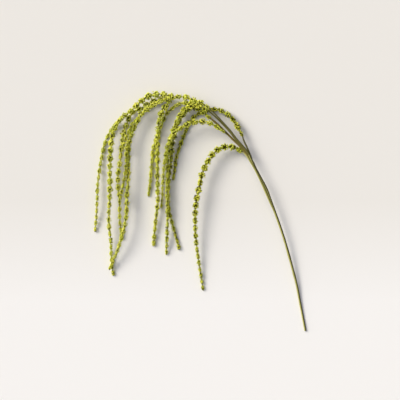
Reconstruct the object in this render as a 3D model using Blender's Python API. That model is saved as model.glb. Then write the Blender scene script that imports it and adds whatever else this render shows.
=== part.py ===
"""Seed head of a hanging amaranth, cut with its stalk and lying on a table.

Metres, +Z up, the table at z = 0. The stalk's cut end points to +X and -Y, the
branches arch over the middle, and the tassels spread to -X and hang to -Y.
A tassel is a thin string that carries a seed cluster every 10 to 15 mm, and the
florets of a cluster stand out of it as raised points, placed by a formula.
"""
import math
import random

import bmesh
import bpy
import numpy as np
from mathutils import Vector

# The routes are laid out on a plan: u to the right, v down, PLAN_STEP metres to a step.
PLAN_STEP = 0.002
# The plan is drawn as seen from EYE_HEIGHT over EYE_AT, so that a raised point
# lies a little nearer to EYE_AT than it looks. ORIGIN_AT is the plan point that
# becomes the part's origin, under the middle of its box.
EYE_HEIGHT = 2.2
EYE_AT = (200.0, 200.0)
ORIGIN_AT = (199.6, 210.55)

# Seed clusters. The pitch grows with the cluster's radius up to MAX_PITCH.
MAX_PITCH = 0.0154
LEAST_PITCH = 0.0065
PITCH_PER_RADIUS = 1.9
# The radius that sets a pitch is read this far ahead, and no cluster is begun
# nearer to the tip than LEAST_RUN.
LOOK_AHEAD = 0.006
LEAST_RUN = 0.004
CLUSTER_SIDES = 6
# Rings of a cluster: share of the pitch, share of the radius. Small ones have fewer.
CLUSTER_RINGS = ((0.12, 0.76), (0.37, 1.0), (0.63, 1.0), (0.88, 0.76))
SMALL_RINGS = ((0.17, 0.86), (0.5, 1.0), (0.83, 0.86))
SMALL_RADIUS = 0.0043
PEAK = 1.16
VALLEY = 0.72
# How far the florets, the clusters and the necks differ among themselves
JITTER = 0.07
SIZE_SPREAD = 0.12
NECK_SPREAD = 0.12
# How far a ring slides along its cluster, as a share of the pitch, and turns, in radians
RING_SLIDE = 0.02
RING_TURN = 0.08
LEAST_NECK = 0.0012
# A tip is this share of the radius long and stays this far over the table.
TIP_LENGTH = 0.6
TIP_FLOOR = 0.0004
# Florets lower than this are pressed flat by the table.
PRESSED = 0.0016

# The seeds of a strand's clusters in the crown are this much higher.
CROWN_SEED = 100

# Bare stems
STALK_SIDES = 8
BRANCH_SIDES = 6
STALK_RING = 0.012
BRANCH_RING = 0.013

# A route is cut into steps of this length, and its direction is taken over AIM each way.
ROUTE_STEP = 0.001
AIM = 0.002
# Two solids that meet end to end keep this gap.
MEETING_GAP = 0.0003
# Edges that a union leaves shorter than this are taken out.
LEAST_EDGE = 0.00001

# Linear colours and roughnesses
STEM_GREEN = (0.115, 0.125, 0.030, 1.0)
STEM_ROUGHNESS = 0.55
SEED_GREEN = (0.300, 0.330, 0.050, 1.0)
SEED_ROUGHNESS = 0.8

# Each route runs from the root to the tip, as (u, v, height in mm, radius in mm).
STALK = [
    (305, 330.3, 1.8, 2.0), (302.1, 315, 1.8, 2.1), (299.2, 300, 3, 2.2),
    (296.4, 285, 5.6, 2.35), (292.6, 270, 8.6, 2.4), (288.5, 255, 11.4, 2.4),
    (284.2, 240, 13.8, 2.3), (279.3, 225, 15.6, 2.45), (274.6, 212, 17, 2.6),
    (270.3, 200, 18, 2.3), (266.6, 190, 18.8, 2.5), (261.6, 180, 19.4, 2.3),
    (256.2, 170, 19.8, 2.3), (251.2, 160, 20.2, 2.3), (248.6, 154.5, 20.4, 2.0),
]
# The clusters of a strand start at its control point number bare. Its first
# clusters, as many as crown says, belong to the crown, where strands meet. Between
# two clusters it narrows to a neck, which is a share of their radius.
STRANDS = {
    "outer": dict(seed=11, bare=7, crown=7, neck=0.42, points=[
        (250.6, 157, 20.4, 1.6), (246.2, 150.3, 21.6, 1.6), (241.8, 145, 22.2, 1.6),
        (237.4, 140, 22.8, 1.6), (229.6, 130, 24, 1.6), (220.6, 120, 25, 1.55),
        (214.4, 113.4, 25.4, 1.5), (208.9, 108, 25.6, 1.5),
        (204, 105, 25.8, 5.6), (198, 102, 25.6, 6.2), (191.5, 99.5, 24.6, 6.2),
        (184.5, 96.6, 23, 6.0), (178.5, 96, 22, 5.4), (172.5, 97, 21, 6.0),
        (165.5, 94.6, 20.2, 6.4), (155.3, 93.9, 19.6, 6.3), (146.1, 96.5, 19.4, 6.2),
        (139, 102, 19.4, 5.9), (132.5, 108.4, 19.6, 5.8), (121.2, 117.6, 20, 5.4),
        (115.2, 125.6, 20.2, 5.3), (112, 134.6, 20.4, 5.3), (110.2, 150, 20.6, 5.4),
        (109.3, 166, 20.6, 5.4), (109.5, 183, 20.4, 5.2), (109.1, 198.5, 19.8, 4.9),
        (108.3, 213, 18.8, 4.3), (108.5, 226, 17, 4.1), (110.2, 240, 12.6, 3.8),
        (110.6, 252, 6.2, 3.7), (111.6, 265, 3.1, 3.4), (113, 275.5, 2.7, 3.2)]),
    "edge": dict(seed=12, bare=0, crown=0, neck=0.46, points=[
        (123, 116.2, 18, 4.2), (118.4, 120.4, 12.6, 4.6), (111.8, 128, 6.8, 4.6),
        (107, 135.8, 4.8, 4.4), (103.2, 146.5, 4, 4.1), (101, 156.5, 5, 4.0),
        (99.2, 168.5, 7.6, 3.8), (97.5, 181, 11, 3.6), (96.8, 193, 13.2, 3.5),
        (96.3, 205, 12.4, 3.3), (95.8, 216, 8.6, 3.1), (95, 225, 5, 3.0),
        (94.4, 231.5, 2.6, 2.8)]),
    "middle": dict(seed=13, bare=0, crown=2, neck=0.42, points=[
        (171.5, 97.3, 17, 5.0), (164, 98.8, 13.5, 6.0), (157, 100, 10.5, 6.0),
        (148, 103.4, 8.6, 6.0), (142.3, 107.6, 8, 5.2), (135.5, 110, 8, 4.6),
        (130, 114, 8.2, 5.8), (127, 121, 9, 5.5), (124, 129, 10.4, 5.3),
        (121.8, 138, 11.8, 5.1), (121, 146, 12.8, 4.9), (119.5, 161.5, 14, 4.8),
        (117.3, 177, 14.4, 4.6), (117.7, 189, 14, 4.5), (119, 202, 12.8, 4.1),
        (119, 214, 10.6, 3.8), (120, 228, 6.6, 3.6), (121, 239, 2.8, 3.1)]),
    "inner": dict(seed=14, bare=0, crown=2, neck=0.66, points=[
        (170, 97.8, 22, 4.2), (163, 100, 25.5, 5.0), (156.5, 102.7, 25, 5.3),
        (148.5, 107.6, 22.5, 5.6), (143, 111, 21, 5.6), (139.2, 115.5, 20.2, 5.6),
        (136.4, 122, 19.8, 5.2), (133.1, 128.5, 20, 5.0), (129.2, 140, 20.5, 4.9),
        (128, 150, 21, 5.0), (127.9, 163, 21.4, 5.1), (127.5, 178, 21.6, 5.1),
        (126.5, 195, 21.6, 4.8), (126.1, 209, 21.8, 4.5), (124.7, 222, 22, 4.2),
        (122, 234, 21.4, 4.0), (117.5, 248.5, 17.5, 3.7), (113, 259.5, 12, 3.4),
        (111, 264.3, 9.6, 3.1), (108.6, 269.5, 7.2, 3.1)]),
    "inner_fork": dict(seed=15, bare=0, crown=0, neck=0.50, points=[
        (131.5, 133.5, 19.7, 2.7), (127.6, 140, 24, 3.4), (126, 149, 25.6, 3.5),
        (125.6, 163, 26.2, 3.5), (124.6, 174, 26.2, 3.5), (122.3, 185.5, 25.4, 3.4),
        (120.6, 193.5, 23.8, 3.2), (119.2, 200, 22, 2.9)]),
    "inner_twig": dict(seed=16, bare=0, crown=0, neck=0.50, points=[
        (138.5, 117, 19.8, 3.4), (132.6, 122.6, 21.6, 4.0), (128.9, 130, 22.6, 4.2),
        (125.3, 138, 23.4, 3.9), (122.3, 147, 23.6, 3.4)]),
    "thick": dict(seed=17, bare=0, crown=1, neck=0.55, points=[
        (170.5, 97, 19, 4.8), (168.6, 99.5, 19, 5.8), (166.6, 104.3, 18.6, 6.0),
        (162.5, 109, 18.4, 5.8), (159.6, 116, 18.2, 5.5), (157.9, 125.5, 17.8, 5.3),
        (157, 136, 17.4, 5.4), (156.8, 150, 16.8, 5.4), (156.9, 165, 16, 5.2),
        (156.9, 180, 14.8, 5.0), (157.3, 200, 12.4, 4.7), (155.9, 214, 10, 4.3),
        (154.2, 230, 6.8, 4.0), (152.8, 246, 2.8, 3.4)]),
    "thin": dict(seed=18, bare=0, crown=2, neck=0.60, points=[
        (196, 104.2, 24, 4.8), (189.5, 102.6, 22.4, 5.6), (183, 102.6, 19.6, 5.2),
        (176.5, 104.3, 15, 4.2), (171, 108.5, 10.8, 4.9), (166, 113.2, 7.2, 4.5),
        (163, 119, 5.2, 4.4), (160, 127, 4.6, 4.3), (155.7, 138.5, 4.4, 4.4),
        (152.6, 150, 4.6, 4.3), (151.4, 161, 5, 4.1), (150.2, 175, 5.4, 3.8),
        (149.2, 186, 4.4, 3.5), (147.8, 196, 2.4, 2.9)]),
    "bent": dict(seed=19, bare=6, crown=3, neck=0.55, points=[
        (250, 157, 20, 1.5), (245, 150.3, 21, 1.5), (236.2, 140.4, 22.2, 1.5),
        (228.4, 130.4, 23.4, 1.5), (218.7, 120.2, 24.4, 1.5),
        (212.2, 114, 24.8, 1.4), (207.6, 110.2, 25.4, 1.4),
        (203.4, 108, 26.2, 5.4), (197.5, 105.6, 27, 6.0),
        (190.6, 105, 25.6, 6.0), (184.2, 108.4, 23.6, 5.8), (179.4, 115, 21.6, 5.5),
        (175.7, 122, 20.4, 5.3), (171.9, 132.5, 19.6, 5.2), (169, 142, 18.8, 5.1),
        (167.6, 152, 18, 4.9), (167, 165, 17.4, 4.5), (166.7, 180, 16.8, 4.2),
        (166.8, 200, 15.8, 4.1), (167, 220, 14, 4.0), (166.5, 236, 10.8, 3.9),
        (166, 247, 6.4, 3.6), (165.8, 254.5, 2.4, 3.1)]),
    "dark": dict(seed=20, bare=6, crown=0, neck=0.55, points=[
        (249.4, 158, 19.6, 1.8), (244.4, 151, 20.2, 2.0), (238.9, 145, 20.4, 2.1),
        (233.5, 140, 20.6, 2.1), (223.4, 130, 20.8, 2.1), (214.4, 121.5, 20.6, 2.1),
        (209.8, 117.8, 20.2, 1.9), (205, 114, 18.8, 5.5), (199, 109, 16, 5.8),
        (192.6, 107.4, 12.6, 5.5),
        (187.4, 109.4, 10.6, 5.3), (183, 114, 9.6, 5.1), (179, 121, 9, 5.0),
        (175.5, 130, 8.8, 5.0), (172.6, 140, 8.8, 5.0), (171, 152, 8.8, 4.8),
        (170, 165, 8.4, 4.5), (168.3, 178, 8, 4.1), (167.7, 192, 7.2, 3.9),
        (168.3, 206, 6, 3.8), (170.4, 218.5, 4.8, 3.7), (174.3, 232, 3.8, 3.6),
        (177.6, 244.5, 3.1, 3.3), (178.8, 249.5, 2.7, 3.0)]),
    "bright": dict(seed=21, bare=2, crown=0, neck=0.52, points=[
        (228.4, 135, 20.9, 1.4), (226, 133.4, 22.6, 1.4), (224.4, 132, 25, 1.4),
        (219.3, 128.8, 28, 4.6), (212.4, 124, 28.4, 4.9), (204, 121.2, 28.2, 5.2),
        (195, 121.6, 27.6, 5.3), (187, 124, 28.2, 5.2), (180, 127.6, 28.6, 5.1),
        (173.2, 133.4, 29.6, 5.1), (168.4, 142, 29.4, 4.9), (165.6, 155, 27.6, 4.5),
        (163.4, 168, 23.8, 3.9), (162.3, 183, 16.8, 3.3), (161.7, 197, 8, 2.8),
        (160.5, 208, 1.9, 2.6)]),
    "low": dict(seed=22, bare=5, crown=0, neck=0.62, points=[
        (251.2, 158.5, 20.2, 1.6), (249.5, 154, 19.8, 1.6), (247.8, 150, 19.2, 1.6),
        (245.6, 145, 18, 1.6), (243.3, 140, 16.6, 1.6), (241.8, 135.4, 15.4, 1.6),
        (239.4, 130.6, 14.2, 5.4), (234.3, 121.5, 12.6, 5.2), (229.2, 115.5, 10.6, 5.2),
        (222.5, 110.8, 7.8, 4.8), (216, 109, 5.4, 4.5), (208.5, 109.6, 4.3, 4.0),
        (202, 111.8, 4.2, 4.2), (195, 115, 4.2, 4.3), (190.2, 119.6, 4, 4.2),
        (186.2, 128, 3.9, 4.2), (182.4, 137.5, 3.8, 4.1), (178.6, 148, 3.7, 4.0),
        (175.6, 158, 3.6, 3.9), (174.2, 169, 3.3, 3.6), (172.3, 180, 2.8, 3.1)]),
    "single": dict(seed=23, bare=7, crown=0, neck=0.40, points=[
        (273.8, 211, 18, 1.5), (268.8, 200, 20, 1.7), (264.5, 190, 21.2, 2.0),
        (259.9, 180, 21.8, 1.8), (255.1, 170, 22, 1.7), (249.5, 160.5, 21.8, 1.7),
        (245.6, 154.4, 19.4, 1.7), (241.8, 151.1, 14.4, 1.8), (239.6, 149.8, 13.6, 4.5),
        (236, 147.8, 13.8, 5.2), (229.8, 146.1, 16.4, 6.2), (220.7, 147.4, 19.4, 6.1),
        (212.9, 153, 21.4, 6.3),
        (207, 161.2, 22, 6.2), (201.9, 172.8, 22.4, 6.2), (197.9, 190, 22.8, 5.9),
        (195.1, 206, 22.4, 5.2), (194.6, 220, 21, 4.7), (195.1, 235, 17.8, 4.3),
        (196.9, 252, 12.8, 3.9), (199.4, 269, 7.4, 3.6), (202.8, 290, 2.2, 2.9)]),
}
# Every node of clusters and the strands that are fused in it.
TASSELS = {
    "tassel_1": ("outer", "edge"),
    "tassel_2": ("middle",),
    "tassel_3": ("inner", "inner_fork", "inner_twig"),
    "tassel_4": ("thin",),
    "tassel_5": ("thick",),
    "tassel_6": ("bright",),
    "tassel_7": ("bent",),
    "tassel_8": ("dark",),
    "tassel_9": ("low",),
    "tassel_10": ("single",),
}


def place(u, v, height, radius):
    """A plan point, with height and radius in mm, as x, y, z and radius in metres."""
    z = height / 1000
    nearer = 1 - z / EYE_HEIGHT
    x = (EYE_AT[0] - ORIGIN_AT[0] + (u - EYE_AT[0]) * nearer) * PLAN_STEP
    y = (ORIGIN_AT[1] - EYE_AT[1] - (v - EYE_AT[1]) * nearer) * PLAN_STEP
    return x, y, z, radius / 1000


class Route:
    """A smooth curve through control points, read by its length from the root."""

    def __init__(self, points):
        p = np.array([place(*point) for point in points])
        gaps = np.linalg.norm(np.diff(p[:, :3], axis=0), axis=1)
        knots = np.concatenate(([0], np.cumsum(gaps)))
        slope = np.gradient(p, knots, axis=0)
        t = np.linspace(0, knots[-1], int(knots[-1] / ROUTE_STEP) + 2)
        i = np.clip(np.searchsorted(knots, t, side="right") - 1, 0, len(knots) - 2)
        span = knots[i + 1] - knots[i]
        f = ((t - knots[i]) / span)[:, None]
        h = span[:, None]
        self.p = ((2 * f**3 - 3 * f**2 + 1) * p[i] + (f**3 - 2 * f**2 + f) * h * slope[i]
                  + (3 * f**2 - 2 * f**3) * p[i + 1] + (f**3 - f**2) * h * slope[i + 1])
        steps = np.linalg.norm(np.diff(self.p[:, :3], axis=0), axis=1)
        self.s = np.concatenate(([0], np.cumsum(steps)))
        # Each control point's own place along the curve
        self.knots = np.interp(knots, t, self.s)
        self.length = self.s[-1]

    def at(self, s):
        """Centre, direction and radius at a length from the root."""
        values = [float(np.interp(s, self.s, self.p[:, k])) for k in range(4)]
        ends = [Vector([np.interp(e, self.s, self.p[:, k]) for k in range(3)])
                for e in (max(s - AIM, 0), min(s + AIM, self.length))]
        return Vector(values[:3]), (ends[1] - ends[0]).normalized(), values[3]


def ring(centre, along, radii, turn, pressed=0.0):
    """Points round a centre, square to the direction, the lowest ones on the table."""
    side = along.cross(Vector((0, 0, 1))).normalized()
    up = side.cross(along)
    points = []
    for k, radius in enumerate(radii):
        angle = turn + 2 * math.pi * k / len(radii)
        p = centre + radius * (math.cos(angle) * side + math.sin(angle) * up)
        points.append(Vector((p.x, p.y, p.z if p.z > pressed else 0.0)))
    return points


def skin(rings, tip=None, parity=None):
    """A closed mesh over rings of points, with flat ends or a pointed tip.

    A quad is split between its two low corners, so that each raised point
    stands as a small pyramid. parity tells which corners of a ring are raised.
    """
    bm = bmesh.new()
    rows = [[bm.verts.new(p) for p in points] for points in rings]
    n = len(rows[0])

    def raised(i, k):
        return parity is not None and parity[i] is not None and (k + parity[i]) % 2 == 0

    for i in range(len(rows) - 1):
        for k in range(n):
            a, b = rows[i][k], rows[i][(k + 1) % n]
            c, d = rows[i + 1][(k + 1) % n], rows[i + 1][k]
            if raised(i, k) or raised(i + 1, k + 1):
                bm.faces.new((a, b, d))
                bm.faces.new((b, c, d))
            else:
                bm.faces.new((a, b, c))
                bm.faces.new((a, c, d))
    for row, outward in ((rows[0], -1), (rows[-1], 1)):
        if outward == 1 and tip is not None:
            middle = bm.verts.new(tip)
        else:
            middle = bm.verts.new(sum((v.co for v in row), Vector()) / n)
        for k in range(n):
            pair = (row[k], row[(k + 1) % n])
            bm.faces.new((*(pair if outward == 1 else pair[::-1]), middle))
    bmesh.ops.recalc_face_normals(bm, faces=bm.faces)
    if bm.calc_volume(signed=True) < 0:
        bmesh.ops.reverse_faces(bm, faces=bm.faces)
    return bm


def clusters_on(route, start):
    """Where the clusters of a route begin and how long each is."""
    spans = []
    s = start
    while s < route.length - LEAST_RUN:
        pitch = min(MAX_PITCH, LEAST_PITCH + PITCH_PER_RADIUS * route.at(s + LOOK_AHEAD)[2])
        spans.append((s, pitch))
        s += pitch
    stretch = (route.length - start) / (s - start)
    return [(float(start + (a - start) * stretch), float(pitch * stretch)) for a, pitch in spans]


def string_of_clusters(route, spans, seed, neck_share, ends_free):
    """A run of clusters on a thin neck, from one flat end to a tip or a flat end."""
    draw = random.Random(seed)
    rings, parity = [], []

    def add(s, radii, lift, turn):
        centre, along, _ = route.at(s)
        rings.append(ring(centre, along, radii, turn, PRESSED if lift is not None else 0.0))
        parity.append(lift)

    turn = draw.uniform(0, math.pi)
    for index, (begin, pitch) in enumerate(spans):
        radius = route.at(begin + 0.5 * pitch)[2]
        narrowing = neck_share + draw.uniform(-NECK_SPREAD, NECK_SPREAD)
        neck = max(radius * narrowing, LEAST_NECK)
        first = begin + (MEETING_GAP / 2 if index == 0 else 0)
        add(first, [neck] * CLUSTER_SIDES, None, turn)
        radius *= 1 + draw.uniform(-SIZE_SPREAD, SIZE_SPREAD)
        rows = SMALL_RINGS if radius < SMALL_RADIUS else CLUSTER_RINGS
        for row, (share, width) in enumerate(rows):
            lift = row % 2
            radii = []
            for k in range(CLUSTER_SIDES):
                level = PEAK if (k + lift) % 2 == 0 else VALLEY
                radii.append(radius * width * level * (1 + draw.uniform(-JITTER, JITTER)))
            slide = draw.uniform(-RING_SLIDE, RING_SLIDE)
            add(begin + (share + slide) * pitch, radii, lift, turn)
            turn += draw.uniform(-RING_TURN, RING_TURN)
    begin, pitch = spans[-1]
    centre, along, radius = route.at(min(begin + pitch, route.length))
    if ends_free:
        tip = centre + along * radius * TIP_LENGTH
        return skin(rings, Vector((tip.x, tip.y, max(tip.z, TIP_FLOOR))), parity)
    neck = max(radius * (neck_share - NECK_SPREAD), LEAST_NECK)
    add(begin + pitch - MEETING_GAP / 2, [neck] * CLUSTER_SIDES, None, turn)
    return skin(rings, None, parity)


def bare_stem(route, start, end, sides, spacing):
    """A plain tube along part of a route, with one flat facet underneath."""
    steps = max(2, round((end - start) / spacing))
    rings = []
    for k in range(steps + 1):
        centre, along, radius = route.at(start + (end - start) * k / steps)
        rings.append(ring(centre, along, [radius] * sides, -math.pi / 2 + math.pi / sides))
    return skin(rings)


def material(name, colour, roughness):
    """A plain Principled material."""
    made = bpy.data.materials.new(name)
    made.use_nodes = True
    surface = made.node_tree.nodes["Principled BSDF"]
    surface.inputs["Base Color"].default_value = colour
    surface.inputs["Roughness"].default_value = roughness
    return made


def keep_outside(bm):
    """Deletes the pockets that a union closes inside: all but the largest connected skin."""
    left = set(bm.verts)
    skins = []
    while left:
        found, edge = set(), {left.pop()}
        while edge:
            found |= edge
            edge = {e.other_vert(v) for v in edge for e in v.link_edges} - found
        skins.append(found)
        left -= found
    largest = max(skins, key=len)
    inside = [v for v in bm.verts if v not in largest]
    bmesh.ops.delete(bm, geom=inside, context="VERTS")


def solid(name, meshes, look):
    """One closed object, its meshes joined by a Boolean union where there are several."""
    base, *others = meshes
    data = bpy.data.meshes.new(name)
    base.to_mesh(data)
    base.free()
    made = bpy.data.objects.new(name, data)
    bpy.context.scene.collection.objects.link(made)
    data.materials.append(look)
    if not others:
        return made
    group = bpy.data.collections.new(name + "_joined")
    for number, mesh in enumerate(others):
        piece = bpy.data.meshes.new(f"{name}_{number}")
        mesh.to_mesh(piece)
        mesh.free()
        piece.materials.append(look)
        group.objects.link(bpy.data.objects.new(f"{name}_{number}", piece))
    bpy.context.scene.collection.children.link(group)
    join = made.modifiers.new("join", "BOOLEAN")
    join.operation = "UNION"
    join.operand_type = "COLLECTION"
    join.collection = group
    join.solver = "MANIFOLD"
    whole = made.evaluated_get(bpy.context.evaluated_depsgraph_get())
    joined = bpy.data.meshes.new_from_object(whole)
    made.modifiers.clear()
    made.data = joined
    joined.name = name
    clean = bmesh.new()
    clean.from_mesh(joined)
    bmesh.ops.triangulate(clean, faces=clean.faces)
    bmesh.ops.dissolve_degenerate(clean, dist=LEAST_EDGE, edges=clean.edges)
    bmesh.ops.triangulate(clean, faces=clean.faces)
    keep_outside(clean)
    clean.to_mesh(joined)
    clean.free()
    for piece in list(group.objects):
        bpy.data.objects.remove(piece)
    bpy.data.collections.remove(group)
    return made


def build():
    """The stem, the crown where the strands meet, and the ten tassels."""
    green = material("stem_green", STEM_GREEN, STEM_ROUGHNESS)
    seed_green = material("seed_green", SEED_GREEN, SEED_ROUGHNESS)
    stalk = Route(STALK)
    stems = [bare_stem(stalk, 0, stalk.length, STALK_SIDES, STALK_RING)]
    crown = []
    free = {}
    for name, strand in STRANDS.items():
        route = Route(strand["points"])
        start = route.knots[strand["bare"]]
        if strand["bare"]:
            end = start - MEETING_GAP / 2
            stems.append(bare_stem(route, 0, end, BRANCH_SIDES, BRANCH_RING))
        spans = clusters_on(route, start)
        shared = strand["crown"]
        seed, neck = strand["seed"], strand["neck"]
        if shared:
            crown_seed = seed + CROWN_SEED
            crown.append(string_of_clusters(route, spans[:shared], crown_seed, neck, False))
        free[name] = string_of_clusters(route, spans[shared:], seed, neck, True)
    solid("stem", stems, green)
    solid("crown", crown, seed_green)
    for name, strands in TASSELS.items():
        solid(name, [free[strand] for strand in strands], seed_green)


for old in list(bpy.data.objects):
    bpy.data.objects.remove(old)
build()
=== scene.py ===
"""Looks of a hanging amaranth's seed head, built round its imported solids.

Each node of seed clusters is replaced by thousands of small florets that stand on
the same strings of clusters, and the stem by ribbed green bark. The camera looks
straight down on the table that the head lies on. Metres, +Z up.
"""
import math
import random

import bpy
import numpy as np
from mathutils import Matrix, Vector


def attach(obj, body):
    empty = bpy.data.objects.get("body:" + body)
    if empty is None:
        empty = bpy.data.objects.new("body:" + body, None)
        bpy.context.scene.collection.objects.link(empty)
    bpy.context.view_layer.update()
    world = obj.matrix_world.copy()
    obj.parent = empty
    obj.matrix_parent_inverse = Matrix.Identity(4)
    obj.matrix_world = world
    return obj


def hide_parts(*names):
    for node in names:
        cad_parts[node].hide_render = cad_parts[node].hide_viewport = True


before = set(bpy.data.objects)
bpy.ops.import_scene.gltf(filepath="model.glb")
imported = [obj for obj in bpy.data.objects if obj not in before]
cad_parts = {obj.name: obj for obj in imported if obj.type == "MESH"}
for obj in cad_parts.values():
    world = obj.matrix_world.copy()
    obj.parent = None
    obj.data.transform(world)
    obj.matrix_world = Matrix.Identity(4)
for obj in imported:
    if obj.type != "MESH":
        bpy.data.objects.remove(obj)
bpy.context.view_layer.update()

# The plan that the routes are laid out on: u to the right, v down, PLAN_STEP metres
# to a step, as seen from EYE_HEIGHT over EYE_AT. ORIGIN_AT is the part's origin.
PLAN_STEP = 0.002
EYE_HEIGHT = 2.2
EYE_AT = (200.0, 200.0)
ORIGIN_AT = (199.6, 210.55)
PLAN_SIZE = 400

# Distance between the points of a route, and how far to either side its direction is read
ROUTE_STEP = 0.001
AIM = 0.002

# Seed clusters, as the solids have them. The radius that sets a pitch is read LOOK_AHEAD
# further on, and no cluster is begun nearer to the tip than LEAST_RUN.
MAX_PITCH = 0.0154
LEAST_PITCH = 0.0065
PITCH_PER_RADIUS = 1.9
LOOK_AHEAD = 0.006
LEAST_RUN = 0.004
CLUSTER_SIDES = 6
# Rings of a cluster: share of the pitch, share of the radius. Small ones have fewer.
CLUSTER_RINGS = ((0.12, 0.76), (0.37, 1.0), (0.63, 1.0), (0.88, 0.76))
SMALL_RINGS = ((0.17, 0.86), (0.5, 1.0), (0.83, 0.86))
SMALL_RADIUS = 0.0043
# A ring's corners are raised and low by turns, by these factors.
PEAK = 1.16
VALLEY = 0.72
# How far the corners, the clusters and the necks differ among themselves
JITTER = 0.07
SIZE_SPREAD = 0.12
NECK_SPREAD = 0.12
# How far a ring slides along its cluster, as a share of the pitch, and turns, in radians
RING_SLIDE = 0.02
RING_TURN = 0.08
LEAST_NECK = 0.0012
# The seeds of a strand's clusters in the crown are this much higher.
CROWN_SEED = 100

# A floret of unit length is a bud with six sides. Each of its points has a radius, a height
# and a share of the way to a tip. Bracts and clefts take turns round it, and WAIST has the
# point below each.
FLORET_SIDES = 6
FOOT = (0.0, -0.1, 0.0)
WAIST = ((0.50, 0.42, 0.38), (0.42, 0.42, 0.38))
BRACT = (0.36, 1.0, 1.0)
CLEFT = (0.30, 0.78, 0.85)
CUP = (0.0, 0.72, 0.72)

# It is FLORET_BASE plus FLORET_SHARE of the string's radius long, but at most FLORET_MOST of
# the skin's radius under it, and FLORET_WIDTH as wide as long. It covers FLORET_AREA square
# metres. Lengths and widths differ by a factor in a range.
FLORET_BASE = 0.0015
FLORET_SHARE = 0.22
FLORET_MOST = 0.8
FLORET_AREA = 5.2e-6
FLORET_WIDTH = 0.98
LENGTH_RANGE = (0.82, 1.15)
WIDTH_RANGE = (0.85, 1.15)
# Florets reach out to FLORET_REACH times the skin's radius. Where the skin is lower than the
# string's own radius, the ratio of the two to the power BEADING shortens their reach.
FLORET_REACH = 1.12
BEADING = 0.35
# What is added to FLORET_REACH on the thick strings of some strands and of the crown
FULLER = {"crown": 0.06, "single": 0.05, "low": 0.04}
# A string of THICK_STRING radius or more is a thick one. On thinner ones tufts are smaller,
# florets sit closer and they stand out by up to THIN_REACH more.
THICK_STRING = 0.005
THIN_REACH = 0.0004
# How much they lean to the tip, how much they lean at random, and the steepest slope of
# the skin that they follow
FLORET_LEAN = 0.25
FLORET_SCATTER = 0.34
STEEPEST = 0.9
# A floret whose foot is lower than this over the table is left out.
LEAST_HEIGHT = 0.0003

# Florets sit in small tufts, TUFT_AREA square metres each. They lean out of the tuft's
# middle, which stands TUFT_TOP past their reach and TUFT_RISE above the tuft's rim, and
# less so where the skin is thin.
TUFT_AREA = 17e-6
TUFT_RADIUS = 0.0023
TUFT_RISE = 0.0022
TUFT_TOP = 0.0006
TUFT_LEAN = 0.6
# On a scale from 0 at the rim to 1 in the middle, florets up to here are left out on a
# thick string. It is less on a thinner one, and one less than half as thick keeps all.
TUFT_RIM = 0.07

# Tufts and florets lie on a spiral that turns by the golden angle from one to the next.
# They stray along it by a share of their size, and round it by up to TURN_LOOSE times that
# share, in radians. A run has at least LEAST_SPOTS of each.
GOLDEN_ANGLE = math.pi * (3 - math.sqrt(5))
TUFT_LOOSE = 0.2
FLORET_LOOSE = 0.08
TURN_LOOSE = 1.5
LEAST_SPOTS = 2
# Distance between the places where the skin is measured
SKIN_STEP = 0.0002

# How ripe a floret is, from 0 to 1, with painted light and shade in it: its tuft sets
# TUFT_SHARE of it, its place in the tuft the rest, as painted light in the tuft's middle and
# painted shade towards its rim, and single florets differ by up to RIPE_SPREAD. A TUFT_BIAS
# below 1 makes more tufts ripe than unripe.
TUFT_SHARE = 0.55
TUFT_BIAS = 0.6
RIPE_SPREAD = 0.15
# Strands whose florets are brighter or darker than the rest; on the low and dark strands,
# which lie low under others, the darkness is painted shade
RIPENESS_AND_SHADE = {"low": -0.13, "dark": -0.11, "inner_twig": -0.06, "bent": -0.02, "single": -0.08,
            "thick": 0.05, "thin": 0.05, "bright": 0.05,
            "outer": 0.10, "edge": 0.10, "middle": 0.10, "inner": 0.10}

# The core that the florets stand on, CORE_DEPTH below their feet. It takes the painted
# shade of a half ripe floret's foot.
CORE_SIDES = 8
CORE_DEPTH = 0.0004
CORE_STEP = 0.0017
LEAST_CORE = 0.0007
CORE_PAINTED_SHADE = 0.0
CORE_RIPE = 0.5
# A core or a stem has at least this many rings.
LEAST_ROWS = 4

# What each vertex carries: how near a tip it is and how ripe, with painted light and shade,
# or how yellow, with painted light and shade on its sides, and how brown
FLORET_LAYERS = ("tip", "ripe_and_shade")
BARK_LAYERS = ("yellow", "brown")

# Linear colours of a floret from its foot, near black there as painted shade, to its
# tips; tints of single florets, with painted light and shade on each tuft; and tints of whole
# patches
TIP_COLOURS_AND_SHADE = ((0.0, (0.03, 0.027, 0.001)), (0.35, (0.52, 0.515, 0.012)),
               (0.7, (0.88, 0.865, 0.075)), (1.0, (0.92, 0.905, 0.28)))
RIPE_AND_SHADE_TINTS = ((0.0, (0.03, 0.03, 0.01)), (0.32, (0.19, 0.19, 0.06)), (0.55, (0.94, 0.95, 0.7)),
              (1.0, (1.0, 1.0, 1.35)))
PATCH_SCALE = 55.0
PATCH_DETAIL = 2.0
PATCH_TINTS = ((0.3, (0.84, 0.9, 0.8)), (0.7, (1.06, 1.03, 1.05)))
FLORET_ROUGHNESS = 0.62
FLORET_SPECULAR = 0.03

# Bark. Its ribs wind by BARK_TWIST radians to a metre, and it runs on for BARK_OVERLAP
# under the first florets.
BARK_SIDES = 18
BARK_STEP = 0.0022
BARK_RIBS = 6
BARK_RIB_DEPTH = 0.05
BARK_TWIST = 6.0
BARK_OVERLAP = 0.003
STALK_SEED = 1
# One low knob to KNOB_SPACING, a share of the radius high and about twice KNOB_LENGTH long
KNOB_SPACING = 0.045
KNOB_HEIGHT = 0.10
KNOB_LENGTH = 0.0035
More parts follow.
